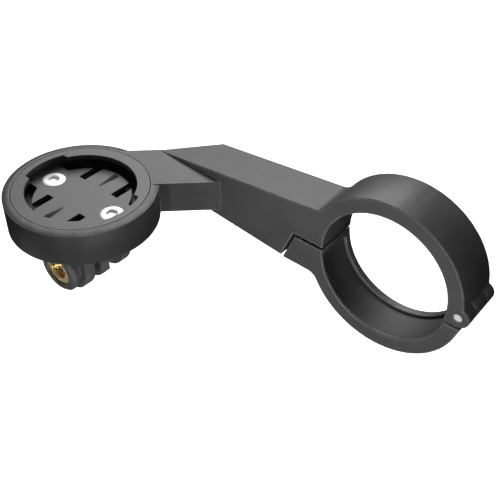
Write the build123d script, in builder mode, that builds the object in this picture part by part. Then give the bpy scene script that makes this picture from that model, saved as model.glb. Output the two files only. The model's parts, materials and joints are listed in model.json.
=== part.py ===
from build123d import *

import os
from math import degrees, radians, sqrt, tan

# Out-front handlebar mount for a cycling computer, with a camera adapter below.
# Millimetres. Origin on the handlebar axis, mid clamp. +X runs along the handlebar,
# -Y is forward in the riding direction and +Z is up.

cut_reach = 40.0  # how far a cutting block reaches, past the far side of any piece

# ---------------------------------------------------------------- clamp ring
bar_radius = 15.9
clamp_width = 12.0
half_width = clamp_width / 2
ring_radius = 19.7
edge_break = 0.25
split_z = -0.6
split_front_y = -24.2
slant_foot_y = -27.6
slant_foot_z = -8.94
ear_slot_length = 10.0
ear_slot_drop = 6.0

# ---------------------------------------------------------------- hinge
hinge_y = 18.7
hinge_z = -0.4
knuckle_radius = 2.6
knuckle_half_width = 2.4
knuckle_side_gap = 0.15
knuckle_relief = 0.25
ear_floor_z = -3.1
ear_root_y = 14.0
pin_radius = 1.0
pin_length = 11.7
pin_chamfer = 0.15
pin_running_gap = 0.05
web_top_front_y = 16.2
web_top_rear_y = 19.7
web_foot_front_y = 15.9
web_foot_rear_y = 19.4
web_foot_z = -4.45

# ---------------------------------------------------------------- strap
strap_drop = 0.6
strap_bore_radius = 15.95
strap_radius = 19.75
strap_seat_z = -3.45
tab_root_y = -14.0
tab_top_z = -1.3
tab_floor_z = -9.3
tab_top_front_y = -23.85
tab_foot_front_y = -27.05
tab_fillet = 3.0
tab_corner_fillet = 0.4

# ---------------------------------------------------------------- rubber pad sunk in the strap
pad_recess = 0.8
pad_thickness = 0.4
pad_gap = 0.12
pad_low_x = -4.0
pad_high_x = 5.2
pad_front_angle = 188.0
pad_rear_angle = 343.0
pad_corner = 1.3

# ---------------------------------------------------------------- clamp bolt, M4
bolt_y = -20.4
bolt_radius = 2.0
bolt_head_radius = 3.5
bolt_head_height = 4.0
bolt_head_chamfer = 0.3
bolt_seat_z = -6.3
bolt_length = 12.0
bolt_hex = 3.0
bolt_hex_depth = 2.2
strap_bolt_hole_radius = 2.3
strap_head_recess_radius = 3.75
arm_bolt_hole_radius = 2.5
arm_bolt_hole_top_z = 7.0

# ---------------------------------------------------------------- arm, neck and head
head_x = 29.6
head_y = -71.4
head_top_z = 3.9
head_floor_z = -5.3
head_radius = 18.9
head_rim_fall = 0.33
head_foot_chamfer = 0.35
pocket_radius = 17.0
pocket_floor_z = -1.9
arm_rise = 0.1095
arm_level_y = -68.4
arm_front_y = -78.0
arm_root_y = -14.0
valley_fillet = 3.0
nose_fillet = 1.0
neck_floor_z = -4.8
neck_rear_y = -46.9
neck_front_y = -68.6
neck_angle = radians(46.0)
neck_root_x = 5.0
neck_front_tip_x = 15.0
neck_rear_tip_x = 19.0

# ---------------------------------------------------------------- computer socket
socket_radius = 16.8
flange_thickness = 1.4
mouth_radius = 13.65
notch_radius = 15.0
notch_half_width = 6.1
cavity_radius = 15.3
plate_top_z = 0.9
plate_thickness = 1.2
plate_radius = 12.1
plate_wall_overlap = 0.3
ear_half_width = 5.0
slot_outer_y = 6.95
pillar_radius = 3.3

# ---------------------------------------------------------------- detent tongues
tongue_root_x = 5.02
tongue_undercut = 0.3
tongue_overreach = 1.0
tongue_half_width = 4.7
tongue_thickness = 1.0
ridge_start = 5.9
ridge_end = 11.4
ridge_root_half_width = 0.35
ridge_root_height = 0.15
ridge_end_half_width = 0.9
ridge_end_height = 0.85

# ---------------------------------------------------------------- socket screws, M3
screw_offset = 10.7
screw_head_radius = 2.9
screw_dome_radius = 2.1
screw_dome = 0.2
screw_radius = 1.5
screw_length = 10.0
screw_hex = 2.5
screw_hex_depth = 0.9
screw_head_angle = 90.0
screw_hole_radius = 1.7

# ---------------------------------------------------------------- camera adapter
pivot_z = -16.2
prong_radius = 7.2
prong_thickness = 3.0
prong_gap = 3.1
prong_pitch = prong_thickness + prong_gap
middle_prong_half_length = 5.4
pivot_hole_radius = 2.6
base_floor_z = -9.5
base_length = 28.4
base_corner = 5.0
gap_top_z = -8.5
gap_half_length = 8.5
boss_length = 3.4
boss_neck_radius = 5.4
boss_collar_radius = 6.3
boss_collar_length = 2.1
boss_chamfer = 0.8

# ---------------------------------------------------------------- brass threads
nut_flange_radius = 4.2
nut_flange_thickness = 1.0
nut_body_radius = 3.6
nut_length = 5.6
nut_bore_radius = 2.1
nut_recess = 0.45
insert_radius = 2.1
insert_length = 3.6

# ---------------------------------------------------------------- derived positions
arm_underside = (slant_foot_z - head_floor_z) / (slant_foot_y - arm_level_y)
cavity_top_z = head_top_z - flange_thickness
plate_floor_z = plate_top_z - plate_thickness
tongue_floor_z = plate_top_z - tongue_thickness
screw_tip_z = plate_top_z - screw_length
pad_face_radius = strap_bore_radius + pad_recess
pad_floor_radius = pad_face_radius + pad_thickness
prong_xs = [head_x + step * prong_pitch for step in (1, 0, -1)]
adapter_width = 2 * prong_pitch + prong_thickness
boss_root_x = prong_xs[0] + prong_thickness / 2
boss_face_x = boss_root_x + boss_length
collar_root_x = boss_face_x - boss_collar_length
nut_face_x = boss_face_x - nut_recess
screw_ys = {"front": head_y - screw_offset, "rear": head_y + screw_offset}

side = Plane.YZ
head_section = Plane(origin=(head_x, head_y, 0), x_dir=(1, 0, 0), z_dir=(0, -1, 0))
head_axis = Axis((head_x, head_y, 0), (0, 0, 1))
pivot_section = Plane(origin=(0, head_y, 0), x_dir=(1, 0, 0), z_dir=(0, -1, 0))
pivot_axis = Axis((0, head_y, pivot_z), (1, 0, 0))


def level(z, x=0.0, y=0.0):
    """A horizontal plane at height z with its origin over x, y."""
    return Plane.XY.offset(z).shift_origin((x, y, z))


def arm_top(y):
    """Height of the arm's sloping top."""
    return head_top_z + arm_rise * (y - arm_level_y)


def arm_floor(y):
    """Height of the arm's underside."""
    return head_floor_z + arm_underside * (y - arm_level_y)


def neck_edge(start_y, x):
    """Y of a neck edge that leaves the arm's near side at start_y."""
    return start_y - (x - half_width) * tan(neck_angle)


def hex_radius(across_flats):
    """Corner radius of a hexagon with this size across its flats."""
    return across_flats / sqrt(3)


def save(piece, name):
    """Label a finished piece and write its STEP file."""
    piece.part.label = name
    export_step(piece.part, f"parts/{name}.step")


os.makedirs("parts", exist_ok=True)

# ================================================================ arm body
with BuildPart() as arm_body:
    # Side view: upper clamp half, hinge ears and the arm, as one profile.
    with BuildSketch(side) as arm_side:
        Circle(ring_radius)
        with Locations((0, split_z)):
            Rectangle(
                2 * cut_reach, cut_reach, align=(Align.CENTER, Align.MAX), mode=Mode.SUBTRACT
            )
        with BuildLine():
            Polyline(
                (arm_front_y, arm_floor(arm_front_y)),
                (slant_foot_y, slant_foot_z),
                (split_front_y, split_z),
                (arm_root_y, split_z),
                (arm_root_y, arm_top(arm_root_y)),
                (arm_front_y, arm_top(arm_front_y)),
                close=True,
            )
        make_face()
        valley_y = -sqrt(ring_radius**2 - arm_top(arm_root_y) ** 2)
        valley = arm_side.vertices().sort_by_distance((valley_y, arm_top(valley_y)))[0]
        fillet(valley, valley_fillet)
        with Locations((ear_root_y, ear_floor_z)):
            Rectangle(
                hinge_y - ear_root_y,
                hinge_z - ear_floor_z,
                align=(Align.MIN, Align.MIN),
            )
        with Locations((hinge_y, hinge_z)):
            Circle(knuckle_radius)
        Circle(bar_radius, mode=Mode.SUBTRACT)
    extrude(amount=half_width, both=True)

    # The nose is cut off along the neck's front edge.
    with BuildSketch(level(-cut_reach)) as nose:
        with BuildLine():
            Polyline(
                (-cut_reach, neck_edge(neck_front_y, -cut_reach)),
                (cut_reach, neck_edge(neck_front_y, cut_reach)),
                (-cut_reach, neck_edge(neck_front_y, cut_reach)),
                close=True,
            )
        make_face()
    extrude(amount=2 * cut_reach, mode=Mode.SUBTRACT)
    nose_corner = (-half_width, neck_edge(neck_front_y, -half_width), 0)
    fillet(arm_body.edges().filter_by(Axis.Z).sort_by_distance(nose_corner)[0], nose_fillet)
    near_edges = arm_body.faces().sort_by(Axis.X)[-1].edges()
    far_edges = arm_body.faces().sort_by(Axis.X)[0].edges()
    chamfer(near_edges + far_edges, edge_break)

    with BuildSketch(level(neck_floor_z)) as neck_plan:
        with BuildLine():
            Polyline(
                (neck_root_x, neck_edge(neck_rear_y, neck_root_x)),
                (neck_rear_tip_x, neck_edge(neck_rear_y, neck_rear_tip_x)),
                (neck_front_tip_x, neck_edge(neck_front_y, neck_front_tip_x)),
                (neck_root_x, neck_edge(neck_front_y, neck_root_x)),
                close=True,
            )
        make_face()
    extrude(amount=head_top_z - neck_floor_z)

    with BuildSketch(head_section) as head_profile:
        with BuildLine():
            Polyline(
                (0, head_floor_z),
                (head_radius - head_foot_chamfer, head_floor_z),
                (head_radius, head_floor_z + head_foot_chamfer),
                (head_radius, head_top_z - head_rim_fall),
                (pocket_radius, head_top_z),
                (0, head_top_z),
                close=True,
            )
        make_face()
    revolve(axis=head_axis)

    # Pocket for the computer socket, and the two screw holes in its floor.
    with BuildSketch(level(pocket_floor_z)) as pocket:
        with Locations((head_x, head_y)):
            Circle(pocket_radius)
    extrude(amount=cut_reach, mode=Mode.SUBTRACT)
    with BuildSketch(level(head_floor_z)) as screw_holes:
        for y in screw_ys.values():
            with Locations((head_x, y)):
                Circle(screw_hole_radius)
    extrude(amount=pocket_floor_z - head_floor_z, mode=Mode.SUBTRACT)

    # Slot between the hinge ears for the strap's knuckle, and the hinge pin's hole.
    with BuildSketch(side) as ear_slot:
        with Locations((hinge_y, hinge_z)):
            Circle(knuckle_radius + knuckle_relief)
            Rectangle(ear_slot_length, ear_slot_drop, align=(Align.CENTER, Align.MAX))
    extrude(amount=knuckle_half_width + knuckle_side_gap, both=True, mode=Mode.SUBTRACT)
    with BuildSketch(side) as ear_hole:
        with Locations((hinge_y, hinge_z)):
            Circle(pin_radius)
    extrude(amount=half_width, both=True, mode=Mode.SUBTRACT)

    with BuildSketch(level(split_z)) as arm_bolt_hole:
        with Locations((0, bolt_y)):
            Circle(arm_bolt_hole_radius)
    extrude(amount=arm_bolt_hole_top_z - split_z, mode=Mode.SUBTRACT)
save(arm_body, "arm_body")


# ================================================================ rubber pad
def pad_blank(face_radius, gap):
    """A curved block from the pad's floor up to this radius, grown by gap at its sides."""
    growth = degrees(gap / pad_floor_radius)
    start = pad_front_angle - growth
    end = pad_rear_angle + growth
    with BuildPart() as blank:
        with BuildSketch(side.offset(pad_low_x - gap)) as sector:
            with BuildLine():
                outer = CenterArc((0, -strap_drop), pad_floor_radius, start, end - start)
                inner = CenterArc((0, -strap_drop), face_radius, start, end - start)
                Line(outer @ 0, inner @ 0)
                Line(outer @ 1, inner @ 1)
            make_face()
        extrude(amount=pad_high_x - pad_low_x + 2 * gap)
        corners = blank.edges().filter_by(GeomType.LINE).group_by(SortBy.LENGTH)[0]
        fillet(corners, pad_corner + gap)
    return blank


strap_pad = pad_blank(pad_face_radius, 0)
pad_pocket = pad_blank(strap_bore_radius - pad_recess, pad_gap)
save(strap_pad, "strap_pad")

# ================================================================ clamp strap
with BuildPart() as clamp_strap:
    with BuildSketch(side) as strap_side:
        with Locations((0, -strap_drop)):
            Circle(strap_radius)
        with Locations((0, strap_seat_z)):
            Rectangle(
                2 * cut_reach, cut_reach, align=(Align.CENTER, Align.MIN), mode=Mode.SUBTRACT
            )
        with BuildLine():
            Polyline(
                (tab_root_y, tab_top_z),
                (tab_top_front_y, tab_top_z),
                (tab_foot_front_y, tab_floor_z),
                (tab_root_y, tab_floor_z),
                close=True,
            )
        make_face()
        tab_corner = strap_side.vertices().sort_by_distance((tab_foot_front_y, tab_floor_z))[0]
        fillet(tab_corner, tab_corner_fillet)
        meeting_y = -sqrt(strap_radius**2 - (tab_floor_z + strap_drop) ** 2)
        tab_root = strap_side.vertices().sort_by_distance((meeting_y, tab_floor_z))[0]
        fillet(tab_root, tab_fillet)
        with Locations((0, -strap_drop)):
            Circle(strap_bore_radius, mode=Mode.SUBTRACT)
    extrude(amount=half_width, both=True)
    strap_near = clamp_strap.faces().sort_by(Axis.X)[-1].edges()
    strap_far = clamp_strap.faces().sort_by(Axis.X)[0].edges()
    chamfer(strap_near + strap_far, edge_break)

    with BuildSketch(side) as knuckle:
        with Locations((hinge_y, hinge_z)):
            Circle(knuckle_radius)
        with BuildLine():
            Polyline(
                (web_top_front_y, hinge_z),
                (web_top_rear_y, hinge_z),
                (web_foot_rear_y, web_foot_z),
                (web_foot_front_y, web_foot_z),
                close=True,
            )
        make_face()
        with Locations((0, -strap_drop)):
            Circle(strap_bore_radius, mode=Mode.SUBTRACT)
    extrude(amount=knuckle_half_width, both=True)
    with BuildSketch(side) as knuckle_hole:
        with Locations((hinge_y, hinge_z)):
            Circle(pin_radius + pin_running_gap)
    extrude(amount=half_width, both=True, mode=Mode.SUBTRACT)

    with BuildSketch(level(tab_floor_z)) as strap_bolt_hole:
        with Locations((0, bolt_y)):
            Circle(strap_bolt_hole_radius)
    extrude(amount=tab_top_z - tab_floor_z, mode=Mode.SUBTRACT)
    with BuildSketch(level(bolt_seat_z)) as strap_head_recess:
        with Locations((0, bolt_y)):
            Circle(strap_head_recess_radius)
    extrude(amount=-cut_reach, mode=Mode.SUBTRACT)
    add(pad_pocket.part, mode=Mode.SUBTRACT)
save(clamp_strap, "clamp_strap")

# ================================================================ hinge pin
with BuildPart() as hinge_pin:
    with BuildSketch(side) as pin_section:
        with Locations((hinge_y, hinge_z)):
            Circle(pin_radius)
    extrude(amount=pin_length / 2, both=True)
    chamfer(hinge_pin.edges().filter_by(GeomType.CIRCLE), pin_chamfer)
save(hinge_pin, "hinge_pin")

# ================================================================ clamp bolt
with BuildPart() as clamp_bolt:
    with BuildSketch(level(bolt_seat_z)) as bolt_head:
        with Locations((0, bolt_y)):
            Circle(bolt_head_radius)
    extrude(amount=-bolt_head_height)
    chamfer(clamp_bolt.faces().sort_by(Axis.Z)[0].edges(), bolt_head_chamfer)
    with BuildSketch(level(bolt_seat_z)) as bolt_shank:
        with Locations((0, bolt_y)):
            Circle(bolt_radius)
    extrude(amount=bolt_length)
    with BuildSketch(level(bolt_seat_z - bolt_head_height)) as bolt_socket:
        with Locations((0, bolt_y)):
            RegularPolygon(hex_radius(bolt_hex), 6)
    extrude(amount=bolt_hex_depth, mode=Mode.SUBTRACT)
save(clamp_bolt, "clamp_bolt")

# ================================================================ computer socket
with BuildPart() as computer_socket:
    with BuildSketch(head_section) as socket_rim:
        with BuildLine():
            Polyline(
                (cavity_radius, pocket_floor_z),
                (socket_radius, pocket_floor_z),
                (socket_radius, head_top_z),
                (mouth_radius, head_top_z),
                (mouth_radius, cavity_top_z),
                (cavity_radius, cavity_top_z),
                close=True,
            )
        make_face()
    revolve(axis=head_axis)

    # Two notches in the flange let the computer's wings in.
    with BuildSketch(level(cavity_top_z)) as notches:
        with Locations((head_x, head_y)):
            Circle(notch_radius)
            Rectangle(2 * notch_half_width, 2 * cut_reach, mode=Mode.INTERSECT)
    extrude(amount=flange_thickness, mode=Mode.SUBTRACT)

    # Floor plate: a disc with an ear under each notch, cut away round the tongues.
    with BuildSketch(level(plate_floor_z)) as plate:
        with Locations((head_x, head_y)):
            Circle(cavity_radius + plate_wall_overlap)
            Rectangle(2 * ear_half_width, 2 * cut_reach, mode=Mode.INTERSECT)
            Circle(plate_radius)
        for direction, root_side in ((1, Align.MIN), (-1, Align.MAX)):
            with Locations((head_x + direction * tongue_root_x, head_y)):
                Rectangle(
                    plate_radius,
                    2 * slot_outer_y,
                    align=(root_side, Align.CENTER),
                    mode=Mode.SUBTRACT,
                )
    extrude(amount=plate_thickness)

    with BuildSketch(level(pocket_floor_z)) as pillars:
        for y in screw_ys.values():
            with Locations((head_x, y)):
                Circle(pillar_radius)
    extrude(amount=plate_top_z - pocket_floor_z)
    for y in screw_ys.values():
        with Locations((head_x, y, plate_top_z)):
            CounterSinkHole(
                screw_hole_radius,
                screw_head_radius,
                depth=plate_top_z - pocket_floor_z,
                counter_sink_angle=screw_head_angle,
            )
save(computer_socket, "computer_socket")


# ================================================================ detent tongues
def detent_tongue(direction):
    """One spring tongue of the socket floor, pointing along direction * X."""
    section = Plane(
        origin=(head_x, head_y, 0), x_dir=(direction, 0, 0), z_dir=(0, -direction, 0)
    )
    leaf_end_x = plate_radius + tongue_overreach
    with BuildPart() as tongue:
        with BuildSketch(section) as leaf:
            with BuildLine():
                Polyline(
                    (tongue_root_x, plate_top_z),
                    (leaf_end_x, plate_top_z),
                    (leaf_end_x, tongue_floor_z),
                    (tongue_root_x + tongue_undercut, tongue_floor_z),
                    close=True,
                )
            make_face()
        extrude(amount=tongue_half_width, both=True)
        with BuildSketch(level(tongue_floor_z)) as outline:
            with Locations((head_x, head_y)):
                Circle(plate_radius)
        extrude(amount=tongue_thickness, mode=Mode.INTERSECT)
        # A ridge along the middle, rising and widening towards the tongue's end.
        for x, half_width_here, height in (
            (ridge_start, ridge_root_half_width, ridge_root_height),
            (ridge_end, ridge_end_half_width, ridge_end_height),
        ):
            with BuildSketch(Plane.YZ.offset(head_x + direction * x)):
                with BuildLine():
                    Polyline(
                        (head_y - half_width_here, plate_top_z),
                        (head_y, plate_top_z + height),
                        (head_y + half_width_here, plate_top_z),
                        close=True,
                    )
                make_face()
        loft()
    return tongue


save(detent_tongue(1), "detent_tongue_near")
save(detent_tongue(-1), "detent_tongue_far")


# ================================================================ socket screws
def socket_screw(y):
    """Raised countersunk M3 screw that goes down through the socket at this y."""
    section = Plane(origin=(head_x, y, 0), x_dir=(1, 0, 0), z_dir=(0, -1, 0))
    neck_z = plate_top_z - (screw_head_radius - screw_radius)
    with BuildPart() as screw:
        with BuildSketch(section) as half_section:
            with BuildLine():
                Polyline(
                    (0, screw_tip_z),
                    (screw_radius, screw_tip_z),
                    (screw_radius, neck_z),
                    (screw_head_radius, plate_top_z),
                    (screw_dome_radius, plate_top_z + screw_dome),
                    (0, plate_top_z + screw_dome),
                    close=True,
                )
            make_face()
        revolve(axis=Axis((head_x, y, 0), (0, 0, 1)))
        with BuildSketch(level(plate_top_z + screw_dome)) as hexagon:
            with Locations((head_x, y)):
                RegularPolygon(hex_radius(screw_hex), 6)
        extrude(amount=-screw_hex_depth, mode=Mode.SUBTRACT)
    return screw


for end, end_y in screw_ys.items():
    save(socket_screw(end_y), f"socket_screw_{end}")

# ================================================================ camera adapter
with BuildPart() as camera_adapter:
    with BuildSketch(level(base_floor_z)) as base_plan:
        with Locations((head_x, head_y)):
            RectangleRounded(adapter_width, base_length, base_corner)
    extrude(amount=head_floor_z - base_floor_z)

    # Three prongs. The middle one is cut square in front and behind.
    for x in prong_xs:
        with BuildSketch(side.offset(x)) as prong:
            with Locations((head_y, pivot_z)):
                Circle(prong_radius)
                Rectangle(
                    2 * prong_radius,
                    base_floor_z - pivot_z,
                    align=(Align.CENTER, Align.MIN),
                )
                if x == head_x:
                    Rectangle(
                        2 * middle_prong_half_length, 2 * cut_reach, mode=Mode.INTERSECT
                    )
        extrude(amount=prong_thickness / 2, both=True)
    for x in prong_xs[1:]:
        gap_x = x + prong_thickness / 2 + prong_gap / 2
        with BuildSketch(level(gap_top_z)) as gap:
            with Locations((gap_x, head_y)):
                Rectangle(prong_gap, 2 * gap_half_length)
        extrude(amount=-cut_reach, mode=Mode.SUBTRACT)

    # A collar round the nut, on a narrower neck.
    with BuildSketch(pivot_section) as boss:
        with BuildLine():
            Polyline(
                (boss_root_x, pivot_z),
                (boss_root_x, pivot_z + boss_neck_radius),
                (collar_root_x, pivot_z + boss_neck_radius),
                (collar_root_x, pivot_z + boss_collar_radius),
                (boss_face_x - boss_chamfer, pivot_z + boss_collar_radius),
                (boss_face_x, pivot_z + boss_collar_radius - boss_chamfer),
                (boss_face_x, pivot_z),
                close=True,
            )
        make_face()
    revolve(axis=pivot_axis)

    with BuildSketch(side.offset(boss_face_x)) as pivot_hole:
        with Locations((head_y, pivot_z)):
            Circle(pivot_hole_radius)
    extrude(amount=-cut_reach, mode=Mode.SUBTRACT)
    with BuildSketch(side.offset(boss_face_x)) as nut_flange_seat:
        with Locations((head_y, pivot_z)):
            Circle(nut_flange_radius)
    extrude(amount=-nut_recess - nut_flange_thickness, mode=Mode.SUBTRACT)
    with BuildSketch(side.offset(boss_face_x)) as nut_body_seat:
        with Locations((head_y, pivot_z)):
            Circle(nut_body_radius)
    extrude(amount=-nut_recess - nut_length, mode=Mode.SUBTRACT)

    with BuildSketch(level(head_floor_z)) as insert_seats:
        for y in screw_ys.values():
            with Locations((head_x, y)):
                Circle(insert_radius)
    extrude(amount=-insert_length, mode=Mode.SUBTRACT)
    with BuildSketch(level(head_floor_z)) as screw_reliefs:
        for y in screw_ys.values():
            with Locations((head_x, y)):
                Circle(screw_hole_radius)
    extrude(amount=-cut_reach, mode=Mode.SUBTRACT)
save(camera_adapter, "camera_adapter")

# ================================================================ brass threads
with BuildPart() as pivot_nut:
    with BuildSketch(pivot_section) as nut_profile:
        with BuildLine():
            Polyline(
                (nut_face_x - nut_length, pivot_z + nut_bore_radius),
                (nut_face_x - nut_length, pivot_z + nut_body_radius),
                (nut_face_x - nut_flange_thickness, pivot_z + nut_body_radius),
                (nut_face_x - nut_flange_thickness, pivot_z + nut_flange_radius),
                (nut_face_x, pivot_z + nut_flange_radius),
                (nut_face_x, pivot_z + nut_bore_radius),
                close=True,
            )
        make_face()
    revolve(axis=pivot_axis)
save(pivot_nut, "pivot_nut")


def screw_insert(y):
    """Brass insert in the adapter's base that receives the socket screw at this y."""
    with BuildPart() as insert:
        with BuildSketch(level(head_floor_z)) as ring:
            with Locations((head_x, y)):
                Circle(insert_radius)
                Circle(screw_radius, mode=Mode.SUBTRACT)
        extrude(amount=-insert_length)
    return insert


for end, end_y in screw_ys.items():
    save(screw_insert(end_y), f"screw_insert_{end}")
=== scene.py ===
import json
import math

import bmesh
import bpy
from mathutils import Matrix, Vector

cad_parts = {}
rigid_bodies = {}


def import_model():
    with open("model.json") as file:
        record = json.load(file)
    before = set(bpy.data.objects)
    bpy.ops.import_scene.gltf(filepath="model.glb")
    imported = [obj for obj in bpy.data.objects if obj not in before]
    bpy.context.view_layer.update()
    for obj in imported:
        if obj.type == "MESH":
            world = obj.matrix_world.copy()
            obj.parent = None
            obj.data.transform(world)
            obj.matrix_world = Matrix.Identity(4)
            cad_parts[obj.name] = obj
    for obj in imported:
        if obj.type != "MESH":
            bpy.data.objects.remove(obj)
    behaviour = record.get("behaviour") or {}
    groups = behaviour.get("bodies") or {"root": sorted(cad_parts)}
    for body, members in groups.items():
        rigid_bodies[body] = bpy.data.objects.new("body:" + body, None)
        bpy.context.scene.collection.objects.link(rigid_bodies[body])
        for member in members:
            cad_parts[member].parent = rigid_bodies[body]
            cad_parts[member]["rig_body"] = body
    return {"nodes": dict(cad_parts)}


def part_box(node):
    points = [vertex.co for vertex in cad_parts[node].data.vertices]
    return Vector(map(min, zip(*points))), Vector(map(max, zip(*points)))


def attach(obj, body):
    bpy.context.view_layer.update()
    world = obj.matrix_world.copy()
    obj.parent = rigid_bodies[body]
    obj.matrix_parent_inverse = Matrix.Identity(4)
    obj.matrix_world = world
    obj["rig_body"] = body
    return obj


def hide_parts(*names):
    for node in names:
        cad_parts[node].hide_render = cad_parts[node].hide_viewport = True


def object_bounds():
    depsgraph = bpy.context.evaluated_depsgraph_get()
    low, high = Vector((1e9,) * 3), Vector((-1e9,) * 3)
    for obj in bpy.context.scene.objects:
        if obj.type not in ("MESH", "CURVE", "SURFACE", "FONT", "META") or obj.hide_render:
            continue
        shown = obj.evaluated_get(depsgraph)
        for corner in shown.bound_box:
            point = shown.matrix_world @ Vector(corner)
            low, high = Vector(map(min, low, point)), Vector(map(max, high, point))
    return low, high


# Handlebar mount for a cycling computer: materials, turned and moulded detail, studio.
# Metres, in the CAD frame: +X along the handlebar, -Y forward, +Z up. Lights are in watts.

MM = 0.001

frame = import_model()
cad_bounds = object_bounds()
nodes = frame["nodes"]

# ---------------------------------------------------------------- threads and drives
NUT_THREAD = {"major": 2.5 * MM, "minor": 2.1 * MM, "pitch": 0.8 * MM}
BOLT_THREAD = {"major": 2.0 * MM, "minor": 1.6 * MM, "pitch": 0.7 * MM}
SCREW_THREAD = {"major": 1.5 * MM, "minor": 1.2 * MM, "pitch": 0.5 * MM}
MOUTH_CLEARANCE = 0.05 * MM
BOLT_HEX_FLAT = 1.5 * MM
SCREW_HEX_FLAT = 1.25 * MM

# ---------------------------------------------------------------- mesh density
AROUND = 96
KNURL_TEETH = 24
ROWS_PER_PITCH = 8
SLOPE_STEPS = 6
SHARP_ANGLE = math.radians(38)


# ================================================================ turned meshes
def plain(radius, angle, height):
    """A round row; every shape takes a radius, an angle and a height, and gives a radius."""
    return radius


def hexagonal(radius, angle, height):
    """A hexagon whose flats are this far from the axis."""
    sector = math.tau / 6
    return radius / math.cos(angle % sector - sector / 2)


def knurled(depth):
    """Straight knurling cut this deep."""
    def shape(radius, angle, height):
        tooth = angle * KNURL_TEETH / math.tau % 1
        return radius - depth * abs(2 * tooth - 1)
    return shape


def threaded(thread):
    """A helical thread between its minor and major radius."""
    def shape(radius, angle, height):
        turn = (height / thread["pitch"] - angle / math.tau) % 1
        return thread["minor"] + (thread["major"] - thread["minor"]) * abs(2 * turn - 1)
    return shape


def thread_rows(start, end, thread):
    """Profile rows along a threaded stretch from height start to end."""
    count = round(abs(end - start) / thread["pitch"] * ROWS_PER_PITCH)
    shape = threaded(thread)
    return [(0, start + (end - start) * i / count, shape) for i in range(count + 1)]


def slope_rows(start, end):
    """Rows between one (radius, height) and another, so that shading follows the slope."""
    rows = []
    for i in range(1, SLOPE_STEPS):
        t = i / SLOPE_STEPS
        radius = start[0] + (end[0] - start[0]) * t
        rows.append((radius, start[1] + (end[1] - start[1]) * t, plain))
    return rows


def lathe(name, rows, ring=False):
    """Turn profile rows (radius, height, shape) about local Z: a ring, or closed on the axis."""
    vertices = []
    faces = []
    body_rows = rows if ring else rows[1:-1]
    for radius, height, shape in body_rows:
        for step in range(AROUND):
            angle = math.tau * step / AROUND
            r = shape(radius, angle, height)
            vertices.append((r * math.cos(angle), r * math.sin(angle), height))
    count = len(body_rows)
    spans = count if ring else count - 1
    for row in range(spans):
        below = row * AROUND
        above = (row + 1) % count * AROUND
        for step in range(AROUND):
            after = (step + 1) % AROUND
            faces.append((below + step, below + after, above + after, above + step))
    if not ring:
        for row, height in ((0, rows[0][1]), (count - 1, rows[-1][1])):
            centre = len(vertices)
            vertices.append((0, 0, height))
            for step in range(AROUND):
                edge = (row * AROUND + step, row * AROUND + (step + 1) % AROUND)
                faces.append((centre, *(edge if row else reversed(edge))))
    return make_piece(name, vertices, faces)


def make_piece(name, vertices, faces):
    """A mesh object with outward normals, smooth except over sharp edges."""
    mesh = bpy.data.meshes.new(name)
    mesh.from_pydata(vertices, [], faces)
    shell = bmesh.new()
    shell.from_mesh(mesh)
    bmesh.ops.recalc_face_normals(shell, faces=shell.faces)
    shell.to_mesh(mesh)
    shell.free()
    mesh.shade_smooth()
    mesh.set_sharp_from_angle(angle=SHARP_ANGLE)
    piece = bpy.data.objects.new(name, mesh)
    bpy.context.scene.collection.objects.link(piece)
    return piece


def stand_for(piece, node, material):
    """Let a detailed piece take a CAD node's place on its body."""
    piece.data.materials.append(material)
    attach(piece, nodes[node]["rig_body"])
    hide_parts(node)


# ================================================================ materials
# The middle part of a noise's range that each use spreads out.
SHADE_RANGE = (0.3, 0.7)
SPECK_RANGE = (0.35, 0.70)
RUB_AND_HIGHLIGHT_RANGE = (0.3, 0.65)
FINE_RANGE = (0.25, 0.75)
SMEAR_RANGE = (0.35, 0.7)

# Sizes of slower noises, as multiples of a finish's grain.
SHADE_SCALE = 28
RUB_AND_HIGHLIGHT_SCALE = 9

FINE_DETAIL = 2.0
NOISE_ROUGHNESS = 0.55
SPECK_STRENGTH = 0.80
RUB_AND_HIGHLIGHT_LEAST = 0.35
ROUGHNESS_SWING = 0.06
EDGE_RADIUS = 0.30 * MM
EDGE_COSINES = (0.998, 0.90)
EDGE_SAMPLES = 6

METAL_GRAIN = 0.12 * MM
METAL_ROUGHNESS_SWING = (-0.05, 0.07)
SMEAR_SIZE = 1.2 * MM
SMEAR_STRENGTH = 0.5
TURNING_GROOVE = 0.16 * MM
TURNING_WANDER = 0.6
TURNING_DEPTH = 0.002 * MM
TURNING_STRENGTH = 0.3

WELD_DISTANCE = 0.002 * MM
ROUNDED_ANGLE = math.radians(35)


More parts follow.
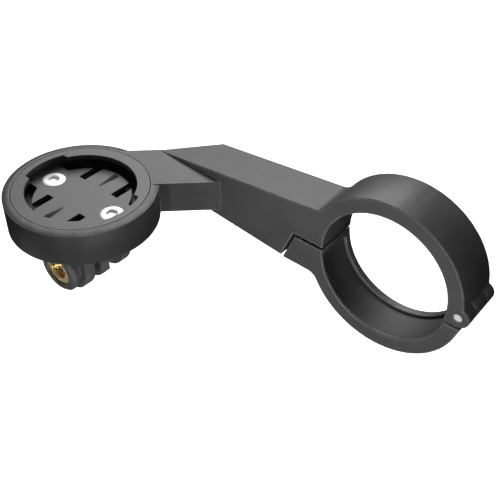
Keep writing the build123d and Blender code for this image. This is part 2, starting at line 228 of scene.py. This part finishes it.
class Nodes:
    """Short calls for building one material's node tree."""

    def __init__(self, name):
        self.material = bpy.data.materials.new(name)
        self.material.use_nodes = True
        self.tree = self.material.node_tree
        self.shader = self.tree.nodes["Principled BSDF"]

    def add(self, kind, **settings):
        node = self.tree.nodes.new(kind)
        for key, value in settings.items():
            setattr(node, key, value)
        return node

    def link(self, output, socket):
        self.tree.links.new(output, socket)

    def noise(self, size, detail=3.0):
        """Noise with features of this size in metres, in the piece's own coordinates."""
        place = self.add("ShaderNodeTexCoord")
        scale = self.add("ShaderNodeVectorMath", operation="MULTIPLY")
        self.link(place.outputs["Object"], scale.inputs[0])
        scale.inputs[1].default_value = [1 / size] * 3
        noise = self.add("ShaderNodeTexNoise")
        noise.inputs["Scale"].default_value = 1.0
        noise.inputs["Detail"].default_value = detail
        noise.inputs["Roughness"].default_value = NOISE_ROUGHNESS
        self.link(scale.outputs[0], noise.inputs["Vector"])
        return noise.outputs["Fac"]

    def spread(self, value, source, target=(0.0, 1.0)):
        """Map a value from one range to another, clamped."""
        node = self.add("ShaderNodeMapRange")
        for socket, number in zip(node.inputs[1:5], (*source, *target)):
            socket.default_value = number
        self.link(value, node.inputs[0])
        return node.outputs[0]

    def multiply(self, a, b):
        node = self.add("ShaderNodeMath", operation="MULTIPLY")
        self.link(a, node.inputs[0])
        self.link(b, node.inputs[1])
        return node.outputs[0]

    def blend(self, factor, a, b):
        """Mix two colours; each is a colour or another node's output."""
        node = self.add("ShaderNodeMix", data_type="RGBA")
        self.link(factor, node.inputs["Factor"])
        for socket, colour in ((node.inputs[6], a), (node.inputs[7], b)):
            if isinstance(colour, bpy.types.NodeSocket):
                self.link(colour, socket)
            else:
                socket.default_value = (*colour, 1)
        return node.outputs[2]

    def edges(self, radius):
        """1 on edges sharper than the radius allows, 0 on open faces."""
        bevel = self.add("ShaderNodeBevel", samples=EDGE_SAMPLES)
        bevel.inputs["Radius"].default_value = radius
        geometry = self.add("ShaderNodeNewGeometry")
        dot = self.add("ShaderNodeVectorMath", operation="DOT_PRODUCT")
        self.link(bevel.outputs[0], dot.inputs[0])
        self.link(geometry.outputs["Normal"], dot.inputs[1])
        return self.spread(dot.outputs["Value"], EDGE_COSINES)

    def bump(self, height, distance, strength=1.0, below=None):
        node = self.add("ShaderNodeBump")
        node.inputs["Strength"].default_value = strength
        node.inputs["Distance"].default_value = distance
        self.link(height, node.inputs["Height"])
        if below is not None:
            self.link(below, node.inputs["Normal"])
        return node.outputs[0]


def surface(name, dark, light, worn_and_highlight, roughness, grain, depth, wear_and_highlight):
    """A finish with fine grain, slow colour variation, roughness variation and edges lightened partly
    as real wear and partly as painted highlight.
    """
    n = Nodes(name)
    fine = n.noise(grain, detail=FINE_DETAIL)
    shade = n.spread(n.noise(grain * SHADE_SCALE), SHADE_RANGE)
    colour = n.blend(shade, dark, light)
    colour = n.blend(n.spread(fine, SPECK_RANGE, (0.0, SPECK_STRENGTH)), colour, light)
    patches = n.spread(n.noise(grain * RUB_AND_HIGHLIGHT_SCALE), RUB_AND_HIGHLIGHT_RANGE, (RUB_AND_HIGHLIGHT_LEAST, 1.0))
    # Painted highlight: sharp edges are lightened towards a pale colour in patches, partly real
    # rubbed wear and partly painted highlight along the chamfers.
    rub_and_highlight = n.spread(n.multiply(n.edges(EDGE_RADIUS), patches), (0.0, 1.0), (0.0, wear_and_highlight))
    n.link(n.blend(rub_and_highlight, colour, worn_and_highlight), n.shader.inputs["Base Color"])
    rough = n.spread(fine, FINE_RANGE, (roughness - ROUGHNESS_SWING, roughness + ROUGHNESS_SWING))
    n.link(rough, n.shader.inputs["Roughness"])
    n.link(n.bump(fine, depth), n.shader.inputs["Normal"])
    return n.material


def turned(name, colour, shadow, roughness, metallic):
    """Bright metal with fine concentric turning marks about the piece's own Z axis."""
    n = Nodes(name)
    place = n.add("ShaderNodeTexCoord")
    rings = n.add("ShaderNodeTexWave", wave_type="RINGS", rings_direction="Z")
    rings.inputs["Scale"].default_value = 1 / TURNING_GROOVE
    rings.inputs["Distortion"].default_value = TURNING_WANDER
    n.link(place.outputs["Object"], rings.inputs["Vector"])
    fine = n.noise(METAL_GRAIN)
    smear = n.spread(n.noise(SMEAR_SIZE), SMEAR_RANGE, (0.0, SMEAR_STRENGTH))
    n.link(n.blend(smear, colour, shadow), n.shader.inputs["Base Color"])
    low, high = METAL_ROUGHNESS_SWING
    rough = n.spread(fine, FINE_RANGE, (roughness + low, roughness + high))
    n.link(rough, n.shader.inputs["Roughness"])
    marks = n.bump(rings.outputs["Fac"], TURNING_DEPTH, strength=TURNING_STRENGTH)
    grain = n.bump(fine, TURNING_DEPTH, strength=TURNING_STRENGTH, below=marks)
    n.link(grain, n.shader.inputs["Normal"])
    n.shader.inputs["Metallic"].default_value = metallic
    return n.material


def soften_edges(node_name, width):
    """Round a CAD piece's sharp edges a little, as tumbling or a mould does."""
    piece = nodes[node_name]
    join = piece.modifiers.new("join", "WELD")
    join.merge_threshold = WELD_DISTANCE
    edge = piece.modifiers.new("edge", "BEVEL")
    edge.width = width
    edge.segments = 2
    edge.limit_method = "ANGLE"
    edge.angle_limit = ROUNDED_ANGLE
    edge.use_clamp_overlap = True
    edge.harden_normals = True


alloy = surface(
    "anodised_alloy",
    dark=(0.040, 0.040, 0.041),
    light=(0.062, 0.062, 0.063),
    # The pale edge colour is partly real edge wear and partly painted highlight along the lit
    # chamfers.
    worn_and_highlight=(0.40, 0.40, 0.40),
    roughness=0.50,
    grain=0.30 * MM,
    depth=0.030 * MM,
    wear_and_highlight=0.85,
)
socket_plastic = surface(
    "socket_plastic",
    dark=(0.040, 0.040, 0.040),
    light=(0.058, 0.058, 0.058),
    worn_and_highlight=(0.13, 0.13, 0.13),
    roughness=0.46,
    grain=0.30 * MM,
    depth=0.012 * MM,
    wear_and_highlight=0.55,
)
adapter_plastic = surface(
    "adapter_plastic",
    dark=(0.035, 0.035, 0.036),
    light=(0.085, 0.085, 0.086),
    worn_and_highlight=(0.22, 0.22, 0.22),
    roughness=0.52,
    grain=0.26 * MM,
    depth=0.035 * MM,
    wear_and_highlight=0.50,
)
rubber = surface(
    "pad_rubber",
    dark=(0.030, 0.030, 0.030),
    light=(0.046, 0.046, 0.046),
    worn_and_highlight=(0.085, 0.085, 0.085),
    roughness=0.62,
    grain=0.20 * MM,
    depth=0.010 * MM,
    wear_and_highlight=0.50,
)
# Painted reflection: a pale, mostly non-metallic base colour brightens the plated steel where it
# would reflect the bright surroundings.
steel = turned(
    "steel",
    colour=(0.86, 0.86, 0.87),
    shadow=(0.72, 0.72, 0.73),
    roughness=0.36,
    metallic=0.30,
)
brass = turned(
    "brass",
    colour=(0.95, 0.70, 0.30),
    shadow=(0.78, 0.54, 0.20),
    roughness=0.20,
    metallic=0.9,
)

finishes = {
    "arm_body": alloy,
    "clamp_strap": alloy,
    "computer_socket": socket_plastic,
    "detent_tongue_near": socket_plastic,
    "detent_tongue_far": socket_plastic,
    "camera_adapter": adapter_plastic,
    "hinge_pin": steel,
}
for node_name, finish in finishes.items():
    mesh = nodes[node_name].data
    mesh.materials.clear()
    mesh.materials.append(finish)

edge_widths = {
    "arm_body": 0.12 * MM,
    "clamp_strap": 0.12 * MM,
    "computer_socket": 0.05 * MM,
    "camera_adapter": 0.12 * MM,
}
for node_name, width in edge_widths.items():
    soften_edges(node_name, width)


# ================================================================ brass pivot nut
def pivot_nut():
    """Threaded brass insert, its flange facing +X in the adapter's boss."""
    low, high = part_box("pivot_nut")
    length = high.x - low.x
    flange_radius = (high.z - low.z) / 2
    flange_step = 0.6 * MM
    body_radius = flange_radius - flange_step
    flange = 1.0 * MM
    lead = 0.35 * MM
    rim = 0.12 * MM
    knurl = knurled(0.15 * MM)
    mouth = NUT_THREAD["major"] + MOUTH_CLEARANCE
    rows = [
        (mouth, length, plain),
        (flange_radius - rim, length, plain),
        (flange_radius, length - rim, plain),
        (flange_radius, length - flange, plain),
        (body_radius, length - flange, plain),
        (body_radius, length - flange - rim, plain),
        (body_radius, length - flange - 2 * rim, knurl),
        (body_radius, rim, knurl),
        (body_radius, 0, plain),
        (mouth, 0, plain),
        *thread_rows(lead, length - lead, NUT_THREAD),
    ]
    nut = lathe("pivot_nut_threaded", rows, ring=True)
    middle = (low + high) / 2
    place = Matrix.Translation((low.x, middle.y, middle.z))
    nut.matrix_world = place @ Matrix.Rotation(math.radians(90), 4, "Y")
    stand_for(nut, "pivot_nut", brass)


# ================================================================ screw inserts
def screw_insert(node):
    """Knurled brass insert that a socket screw threads into."""
    low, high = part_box(node)
    length = high.z - low.z
    radius = (high.x - low.x) / 2
    rim = 0.2 * MM
    knurl = knurled(0.12 * MM)
    mouth = SCREW_THREAD["major"] + MOUTH_CLEARANCE
    rows = [
        (mouth, length, plain),
        (radius, length, plain),
        (radius, length - rim, knurl),
        (radius, rim, knurl),
        (radius, 0, plain),
        (mouth, 0, plain),
        *thread_rows(rim, length - rim, SCREW_THREAD),
    ]
    insert = lathe(f"{node}_threaded", rows, ring=True)
    insert.location = ((low.x + high.x) / 2, (low.y + high.y) / 2, low.z)
    stand_for(insert, node, brass)


# ================================================================ socket screws
def socket_screw(node):
    """Raised countersunk M3 screw with a hex socket."""
    low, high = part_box(node)
    length = high.z - low.z
    head_radius = (high.x - low.x) / 2
    dome = 0.2 * MM
    edge = 0.1 * MM
    hex_depth = 0.65 * MM
    hex_chamfer_width = 0.22 * MM
    hex_chamfer_depth = 0.15 * MM
    drill_radius = 0.75 * MM
    drill_depth = 0.1 * MM
    drill_tip_depth = 0.3 * MM
    thread_end = 0.3 * MM
    tip_radius = 1.08 * MM
    rim = length - dome
    neck = rim - (head_radius - SCREW_THREAD["major"])
    hex_rim = SCREW_HEX_FLAT + hex_chamfer_width
    hex_floor = length - hex_depth
    rows = [
        (0, hex_floor - drill_tip_depth, plain),
        (drill_radius, hex_floor - drill_depth, plain),
        (SCREW_HEX_FLAT, hex_floor, hexagonal),
        (SCREW_HEX_FLAT, length - hex_chamfer_depth, hexagonal),
        (hex_rim, length, plain),
        *slope_rows((hex_rim, length), (head_radius - edge, rim + edge)),
        (head_radius - edge, rim + edge / 2, plain),
        (head_radius, rim, plain),
        (head_radius, rim - edge, plain),
        (SCREW_THREAD["major"], neck, plain),
        *reversed(thread_rows(thread_end, neck - thread_end, SCREW_THREAD)),
        (tip_radius, 0, plain),
        (0, 0, plain),
    ]
    screw = lathe(f"{node}_turned", rows)
    screw.location = ((low.x + high.x) / 2, (low.y + high.y) / 2, low.z)
    stand_for(screw, node, steel)


# ================================================================ clamp bolt
def clamp_bolt():
    """M4 cap screw, its head down in the strap's tab."""
    low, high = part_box("clamp_bolt")
    length = high.z - low.z
    head_radius = (high.x - low.x) / 2
    head = 4.0 * MM
    rim = 0.3 * MM
    knurl_step = 0.15 * MM
    knurl = knurled(0.14 * MM)
    shoulder_width = 0.2 * MM
    shoulder_height = 0.1 * MM
    socket_depth = 2.2 * MM
    socket_tip = 0.4 * MM
    chamfer_width = 0.4 * MM
    chamfer_depth = 0.25 * MM
    thread_start = 0.4 * MM
    tip = 0.5 * MM
    tip_radius = 1.36 * MM
    rows = [
        (0, socket_depth + socket_tip, plain),
        (BOLT_HEX_FLAT, socket_depth, hexagonal),
        (BOLT_HEX_FLAT, chamfer_depth, hexagonal),
        (BOLT_HEX_FLAT + chamfer_width, 0, plain),
        (head_radius - rim, 0, plain),
        (head_radius - knurl_step, rim, plain),
        (head_radius, rim + knurl_step, knurl),
        (head_radius, head - rim, knurl),
        (head_radius - shoulder_width, head - shoulder_height, plain),
        (head_radius - rim, head, plain),
        (BOLT_THREAD["major"], head, plain),
        *thread_rows(head + thread_start, length - tip, BOLT_THREAD),
        (tip_radius, length, plain),
        (0, length, plain),
    ]
    bolt = lathe("clamp_bolt_turned", rows)
    bolt.location = ((low.x + high.x) / 2, (low.y + high.y) / 2, low.z)
    stand_for(bolt, "clamp_bolt", steel)


# ================================================================ rubber pad
PAD_FLOOR_RADIUS = 17.15 * MM
PAD_THICKNESS = 0.4 * MM
PAD_ANGLES = (math.radians(188.0), math.radians(343.0))
PAD_CENTRE_Z = -0.6 * MM
PAD_CORNER = 1.3 * MM
PAD_COVE_WIDTH = 1.4 * MM
PAD_COVE_HEIGHT = 0.28 * MM
PAD_ROWS_ALONG = 96
PAD_ROWS_ACROSS = 20


def strap_pad():
    """Curved rubber liner in the strap's pocket, its ends and near rim rising in a cove."""
    low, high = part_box("strap_pad")
    half_width = (high.x - low.x) / 2
    middle_x = (high.x + low.x) / 2
    half_length = (PAD_ANGLES[1] - PAD_ANGLES[0]) / 2 * PAD_FLOOR_RADIUS
    middle_angle = sum(PAD_ANGLES) / 2

    def eased(i, count):
        """Positions from -1 to 1, closer together towards the ends."""
        return -math.cos(math.pi * i / count)

    def half_width_at(s):
        """Half the pad's width at this distance along it, less in the rounded corners."""
        over = max(0.0, abs(s) - (half_length - PAD_CORNER))
        return half_width - PAD_CORNER + math.sqrt(max(0.0, PAD_CORNER**2 - over**2))

    def point(s, across, depth):
        angle = middle_angle + s / PAD_FLOOR_RADIUS
        radius = PAD_FLOOR_RADIUS - depth
        x = middle_x + across * half_width_at(s)
        return (x, radius * math.cos(angle), PAD_CENTRE_Z + radius * math.sin(angle))

    def cove(s, across):
        """How far the face rises near the pad's ends and its near (+X) rim."""
        to_side = (1 - across) * half_width_at(s)
        to_end = half_length - abs(s)
        near = max(0.0, 1 - min(to_side, to_end) / PAD_COVE_WIDTH)
        return PAD_COVE_HEIGHT * near**2

    vertices = []
    for top in (False, True):
        for i in range(PAD_ROWS_ALONG + 1):
            s = half_length * eased(i, PAD_ROWS_ALONG)
            for j in range(PAD_ROWS_ACROSS + 1):
                across = eased(j, PAD_ROWS_ACROSS)
                depth = PAD_THICKNESS + cove(s, across) if top else 0.0
                vertices.append(point(s, across, depth))
    row = PAD_ROWS_ACROSS + 1
    layer = row * (PAD_ROWS_ALONG + 1)
    faces = []
    for offset in (0, layer):
        for i in range(PAD_ROWS_ALONG):
            for j in range(PAD_ROWS_ACROSS):
                corner = offset + i * row + j
                faces.append((corner, corner + 1, corner + row + 1, corner + row))
    border = [*range(row)]
    border += [i * row + PAD_ROWS_ACROSS for i in range(1, PAD_ROWS_ALONG + 1)]
    border += [PAD_ROWS_ALONG * row + j for j in range(PAD_ROWS_ACROSS - 1, -1, -1)]
    border += [i * row for i in range(PAD_ROWS_ALONG - 1, 0, -1)]
    for a, b in zip(border, border[1:] + border[:1]):
        faces.append((a, b, b + layer, a + layer))
    pad = make_piece("strap_pad_moulded", vertices, faces)
    stand_for(pad, "strap_pad", rubber)


pivot_nut()
for end in ("front", "rear"):
    socket_screw(f"socket_screw_{end}")
    screw_insert(f"screw_insert_{end}")
clamp_bolt()
strap_pad()

# ================================================================ studio
FLOOR_DROP = 0.07
FLOOR_HALF = 3.0
FLOOR_CORNERS = ((-1, -1), (1, -1), (1, 1), (-1, 1))
PAPER_COLOUR = (0.93, 0.93, 0.93, 1)
PAPER_ROUGHNESS = 0.9
PAPER_SHEEN = 0.1
PAPER_GLOW = 0.88
WHITE = (1, 1, 1, 1)


def make_floor():
    """A plain pale floor below the part, far enough down that shadows stay soft."""
    height = cad_bounds[0].z - FLOOR_DROP
    corners = [(x * FLOOR_HALF, y * FLOOR_HALF, height) for x, y in FLOOR_CORNERS]
    mesh = bpy.data.meshes.new("floor")
    mesh.from_pydata(corners, [], [(0, 1, 2, 3)])
    floor = bpy.data.objects.new("floor", mesh)
    bpy.context.scene.collection.objects.link(floor)
    paper = Nodes("floor_paper")
    paper.shader.inputs["Base Color"].default_value = PAPER_COLOUR
    paper.shader.inputs["Roughness"].default_value = PAPER_ROUGHNESS
    paper.shader.inputs["Specular IOR Level"].default_value = PAPER_SHEEN
    paper.shader.inputs["Emission Color"].default_value = WHITE
    paper.shader.inputs["Emission Strength"].default_value = PAPER_GLOW
    mesh.materials.append(paper.material)
    floor.visible_diffuse = False
    floor.visible_glossy = False


def middle_of(box):
    """The middle of a box given by its two corners."""
    return (box[0] + box[1]) / 2


def softbox(name, target, direction, distance, size, power, spread=180):
    """A square light aimed at a point from this direction, its beam this many degrees wide."""
    toward = Vector(direction).normalized()
    data = bpy.data.lights.new(name, "AREA")
    data.shape = "SQUARE"
    data.size = size
    data.energy = power
    data.spread = math.radians(spread)
    light = bpy.data.objects.new(name, data)
    light.location = target + toward * distance
    light.rotation_mode = "QUATERNION"
    light.rotation_quaternion = toward.to_track_quat("Z", "Y")
    light.visible_camera = False
    bpy.context.scene.collection.objects.link(light)


def make_world(sky, ground, sky_height, backdrop):
    """Weak light that grows from the horizon up to a height, and a pale backdrop."""
    world = bpy.data.worlds.new("studio")
    world.use_nodes = True
    tree = world.node_tree
    place = tree.nodes.new("ShaderNodeTexCoord")
    split = tree.nodes.new("ShaderNodeSeparateXYZ")
    ramp = tree.nodes.new("ShaderNodeValToRGB")
    ramp.color_ramp.elements[0].position = 0.0
    ramp.color_ramp.elements[0].color = (ground, ground, ground, 1)
    ramp.color_ramp.elements[1].position = sky_height
    ramp.color_ramp.elements[1].color = (sky, sky, sky, 1)
    tree.links.new(place.outputs["Generated"], split.inputs[0])
    tree.links.new(split.outputs["Z"], ramp.inputs[0])
    tree.links.new(ramp.outputs["Color"], tree.nodes["Background"].inputs["Color"])
    seen = tree.nodes.new("ShaderNodeBackground")
    seen.inputs["Color"].default_value = (backdrop, backdrop, backdrop, 1)
    rays = tree.nodes.new("ShaderNodeLightPath")
    choose = tree.nodes.new("ShaderNodeMixShader")
    tree.links.new(rays.outputs["Is Camera Ray"], choose.inputs[0])
    tree.links.new(tree.nodes["Background"].outputs[0], choose.inputs[1])
    tree.links.new(seen.outputs[0], choose.inputs[2])
    tree.links.new(choose.outputs[0], tree.nodes["World Output"].inputs["Surface"])
    bpy.context.scene.world = world


CAMERA_PLACE = Vector((0.12442, 0.05779, 0.11780))
CAMERA_HEADING = math.radians(129.46)
CAMERA_TILT = math.radians(51.25)
CAMERA_ROLL = math.radians(0.75)
CAMERA_LENS = 56.86
CAMERA_SENSOR = 36.0
CAMERA_RANGE = (0.005, 20.0)
CAMERA_SHIFT = (0.0151, -0.0546)


def make_camera():
    """The camera fitted to the photograph's ellipses and straight edges."""
    data = bpy.data.cameras.new("camera")
    data.lens = CAMERA_LENS
    data.sensor_width = CAMERA_SENSOR
    data.shift_x, data.shift_y = CAMERA_SHIFT
    data.clip_start, data.clip_end = CAMERA_RANGE
    camera = bpy.data.objects.new("camera", data)
    camera.matrix_world = (
        Matrix.Translation(CAMERA_PLACE)
        @ Matrix.Rotation(CAMERA_HEADING, 4, "Z")
        @ Matrix.Rotation(CAMERA_TILT, 4, "X")
        @ Matrix.Rotation(CAMERA_ROLL, 4, "Z")
    )
    bpy.context.scene.collection.objects.link(camera)
    bpy.context.scene.camera = camera


make_floor()
make_world(sky=0.11, ground=0.02, sky_height=0.70, backdrop=0.95)
# What each light is aimed at.
part = middle_of(cad_bounds)
head = middle_of(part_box("computer_socket"))
nut = middle_of(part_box("pivot_nut"))
prongs = nut - Vector((0.014, 0.0, 0.0))
ring = Vector((0.006, 0.0, -0.004))

softbox("key_behind", part, (-0.52, -0.46, 0.72), distance=0.6, size=0.40, power=3.3)
softbox("key_above", part, (-0.35, -0.05, 0.93), distance=0.6, size=0.40, power=0.6)
softbox("fill_ring", ring, (0.99, 0.12, 0.03), distance=0.30, size=0.05, power=0.026, spread=30)
softbox("fill_head", head, (0.42, 0.84, -0.16), distance=0.22, size=0.12, power=0.013, spread=30)
softbox("fill_prongs", prongs, (0.15, 0.80, -0.58), distance=0.10, size=0.03, power=0.0015, spread=12)
softbox("glint_nut", nut, (0.62, -0.50, -0.60), distance=0.10, size=0.04, power=0.00026, spread=22)
softbox("glint_thread", nut, (0.90, 0.42, -0.12), distance=0.20, size=0.02, power=0.0003, spread=5)
make_camera()
bpy.context.scene.view_settings.view_transform = "Standard"
